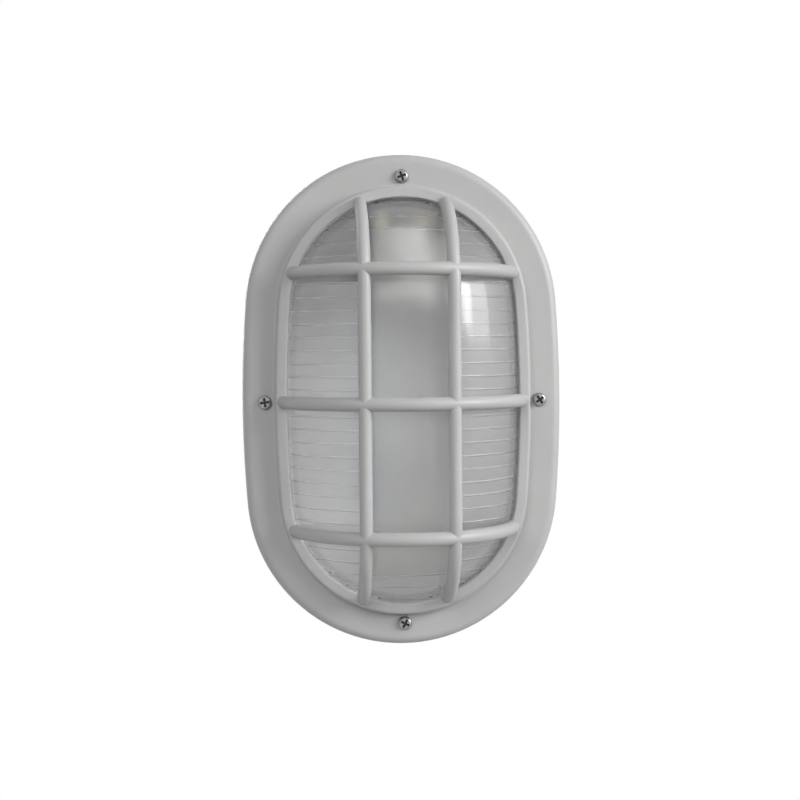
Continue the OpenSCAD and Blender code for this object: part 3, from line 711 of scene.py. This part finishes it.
class BULKHEAD_OT_housing(bpy.types.Operator):
    """Finish the base, the cover frame with its guard, and the end plugs"""
    bl_idname = "bulkhead.housing"
    bl_label = "Housing"

    def execute(self, context):
        colour = context.scene.bulkhead.colours.housing
        material = plastic("housing_plastic", colour, roughness=0.42)
        for node in ("base", "guard_frame", "conduit_plugs"):
            dress(node, material)
        return {"FINISHED"}


class BULKHEAD_OT_lens(bpy.types.Operator):
    """Model the domed glass with its inner ribs"""
    bl_idname = "bulkhead.lens"
    bl_label = "Lens"

    def execute(self, context):
        settings = context.scene.bulkhead
        bm = ribbed_lens(Oval(settings.outline), settings.lens)
        material = pressed_glass(settings.colours.glass)
        make_piece(bm, "ribbed_lens", material, "lens_glass", "lens")
        return {"FINISHED"}


class BULKHEAD_OT_rubber(bpy.types.Operator):
    """Finish the gasket and the cable grommet"""
    bl_idname = "bulkhead.rubber"
    bl_label = "Rubber"

    def execute(self, context):
        material = plastic(
            "black_rubber", context.scene.bulkhead.colours.rubber,
            roughness=0.62, cloud=0.25, grain=900.0, bump=0.2, specular=0.35)
        for node in ("lens_gasket", "cable_grommet"):
            dress(node, material)
        return {"FINISHED"}


class BULKHEAD_OT_cover_screws(bpy.types.Operator):
    """Model the four cover screws"""
    bl_idname = "bulkhead.cover_screws"
    bl_label = "Cover screws"

    def execute(self, context):
        settings = context.scene.bulkhead
        bm = cover_screws(Oval(settings.outline), settings.screws)
        material = screw_steel(settings.colours.zinc)
        make_piece(bm, "crossed_screws", material, "zinc_steel", "cover_screws")
        return {"FINISHED"}


class BULKHEAD_OT_steel(bpy.types.Operator):
    """Finish the inner screws and the bracket"""
    bl_idname = "bulkhead.steel"
    bl_label = "Inner screws and bracket"

    def execute(self, context):
        colour = context.scene.bulkhead.colours.zinc
        material = metal("zinc_steel", colour, darker(colour, 0.62), roughness=0.28)
        for node in ("holder_bracket", "bracket_screws", "holder_screws", "wire_screws",
                     "pole_screws", "block_screw"):
            dress(node, material)
        return {"FINISHED"}


class BULKHEAD_OT_lampholder(bpy.types.Operator):
    """Finish the porcelain lampholder and its brass"""
    bl_idname = "bulkhead.lampholder"
    bl_label = "Lampholder"

    def execute(self, context):
        colours = context.scene.bulkhead.colours
        dress("holder_body", glazed_porcelain(colours.porcelain))
        brass = metal(
            "dulled_brass", colours.brass, darker(colours.brass, 0.55), roughness=0.22, scale=180.0)
        for node in ("screw_shell", "centre_contact", "contact_screws", "wire_terminals",
                     "pole_inserts"):
            dress(node, brass)
        return {"FINISHED"}


class BULKHEAD_OT_wiring(bpy.types.Operator):
    """Finish the leads and the terminal block"""
    bl_idname = "bulkhead.wiring"
    bl_label = "Wiring"

    def execute(self, context):
        colours = context.scene.bulkhead.colours
        sleeve = {"roughness": 0.3, "cloud": 0.2, "grain": 700.0, "bump": 0.05}
        live = plastic("brown_sleeve", colours.live, **sleeve)
        neutral = plastic("blue_sleeve", colours.neutral, **sleeve)
        block = plastic(
            "block_plastic", colours.block, roughness=0.4, cloud=0.1, grain=800.0, bump=0.06)
        dress("live_lead", live)
        dress("neutral_lead", neutral)
        dress("terminal_block", block)
        return {"FINISHED"}


def soft_lamp(name, watts, size, place, shows):
    """An area lamp that looks at the light, and that shiny surfaces may show."""
    data = bpy.data.lights.new(name, "AREA")
    data.shape = "RECTANGLE"
    data.size, data.size_y = size
    data.energy = watts
    lamp = bpy.data.objects.new(name, data)
    lamp.location = place
    lamp.rotation_euler = (LAMP_AIM - Vector(place)).to_track_quat("-Z", "Y").to_euler()
    lamp.visible_glossy = shows
    bpy.context.scene.collection.objects.link(lamp)


def seen_rays(tree):
    """1 for rays that show the background: from the camera, or by way of metal or glass alone."""
    rays = add(tree, "ShaderNodeLightPath").outputs
    both = maths(tree, "MAXIMUM", rays["Is Camera Ray"], rays["Is Glossy Ray"])
    seen = maths(tree, "MAXIMUM", both, rays["Is Transmission Ray"])
    return maths(tree, "MULTIPLY", seen, maths(tree, "LESS_THAN", rays["Diffuse Depth"], 0.5))


def front_camera(stage):
    """The camera, at the photograph's viewing angle."""
    data = bpy.data.cameras.new("front camera")
    data.sensor_width = SENSOR_WIDTH
    data.lens = SENSOR_WIDTH * stage.distance / stage.view_width
    camera = bpy.data.objects.new("front camera", data)
    level = math.cos(stage.elevation)
    back = Vector((math.sin(stage.azimuth) * level, -math.cos(stage.azimuth) * level,
                   math.sin(stage.elevation)))
    turn = (-back).to_track_quat("-Z", "Y").to_matrix() @ Matrix.Rotation(-stage.roll, 3, "Z")
    place = Matrix.Translation(Vector(stage.aim) + back * stage.distance)
    camera.matrix_world = place @ turn.to_4x4()
    bpy.context.scene.collection.objects.link(camera)
    return camera


def white_room(stage):
    """The world: a dim room that is white where it is seen."""
    world = bpy.data.worlds.new("white room")
    world.use_nodes = True
    tree = world.node_tree
    light = tree.nodes["Background"]
    strength = spread(tree, seen_rays(tree), 0.0, 1.0, stage.ambient, 1.0)
    tree.links.new(strength, light.inputs["Strength"])
    light.inputs["Color"].default_value = WHITE
    return world


def pale_floor():
    """A matt grey that is white where it is seen, apart from a soft shadow in its middle."""
    material, tree, shader = start_material("pale_floor")
    shader.inputs["Base Color"].default_value = FLOOR_GREY
    shader.inputs["Roughness"].default_value = FLOOR_ROUGHNESS
    at = add(tree, "ShaderNodeTexCoord").outputs["Object"]
    away = add(tree, "ShaderNodeVectorMath", {0: at}, operation="LENGTH").outputs["Value"]
    bare = spread(tree, away, SHADOW_NEAR, SHADOW_FAR, SHADOW_WHITE, 1.0)
    white = maths(tree, "MULTIPLY", bare, seen_rays(tree))
    glow = add(tree, "ShaderNodeEmission", {"Color": WHITE, "Strength": 1.0})
    both = add(tree, "ShaderNodeMixShader", {0: white, 1: shader.outputs[0], 2: glow.outputs[0]})
    tree.links.new(both.outputs[0], tree.nodes["Material Output"].inputs["Surface"])
    return material


def round_floor(stage):
    """The floor under the light."""
    bm = bmesh.new()
    bmesh.ops.create_circle(bm, cap_ends=True, segments=FLOOR_STEPS, radius=FLOOR_RADIUS)
    mesh = bpy.data.meshes.new("floor")
    bm.to_mesh(mesh)
    bm.free()
    mesh.materials.append(pale_floor())
    floor = bpy.data.objects.new("floor", mesh)
    floor.location.z = stage.floor_level
    bpy.context.scene.collection.objects.link(floor)


class BULKHEAD_OT_stage(bpy.types.Operator):
    """Set up the camera, the lamps, the floor and the white background"""
    bl_idname = "bulkhead.stage"
    bl_label = "Stage"

    def execute(self, context):
        scene = context.scene
        stage = scene.bulkhead.stage
        scene.camera = front_camera(stage)
        for name, (setting, size, place, shows) in LAMPS.items():
            soft_lamp(name, getattr(stage, setting), size, place, shows)
        scene.world = white_room(stage)
        round_floor(stage)
        scene.view_settings.view_transform = "Standard"
        return {"FINISHED"}


class BULKHEAD_PT_pieces(bpy.types.Panel):
    """The light's pieces and its stage"""
    bl_idname = "BULKHEAD_PT_pieces"
    bl_label = "Bulkhead light"
    bl_space_type = "VIEW_3D"
    bl_region_type = "UI"
    bl_category = "Light"

    def draw(self, context):
        for operator in OPERATORS:
            self.layout.operator(operator.bl_idname)


SETTINGS = (OutlineSizes, LensSizes, ScrewSizes, FinishColours, StageSettings, LightSettings)
OPERATORS = (
    BULKHEAD_OT_stage, BULKHEAD_OT_housing, BULKHEAD_OT_lens, BULKHEAD_OT_rubber,
    BULKHEAD_OT_cover_screws, BULKHEAD_OT_steel, BULKHEAD_OT_lampholder, BULKHEAD_OT_wiring)
CLASSES = SETTINGS + OPERATORS + (BULKHEAD_PT_pieces,)


def register():
    for each in CLASSES:
        bpy.utils.register_class(each)
    bpy.types.Scene.bulkhead = bpy.props.PointerProperty(type=LightSettings)


def unregister():
    del bpy.types.Scene.bulkhead
    for each in reversed(CLASSES):
        bpy.utils.unregister_class(each)


def main():
    register()
    bpy.ops.bulkhead.stage()
    bpy.ops.bulkhead.housing()
    bpy.ops.bulkhead.lens()
    bpy.ops.bulkhead.rubber()
    bpy.ops.bulkhead.cover_screws()
    bpy.ops.bulkhead.steel()
    bpy.ops.bulkhead.lampholder()
    bpy.ops.bulkhead.wiring()


if __name__ == "__main__":
    main()
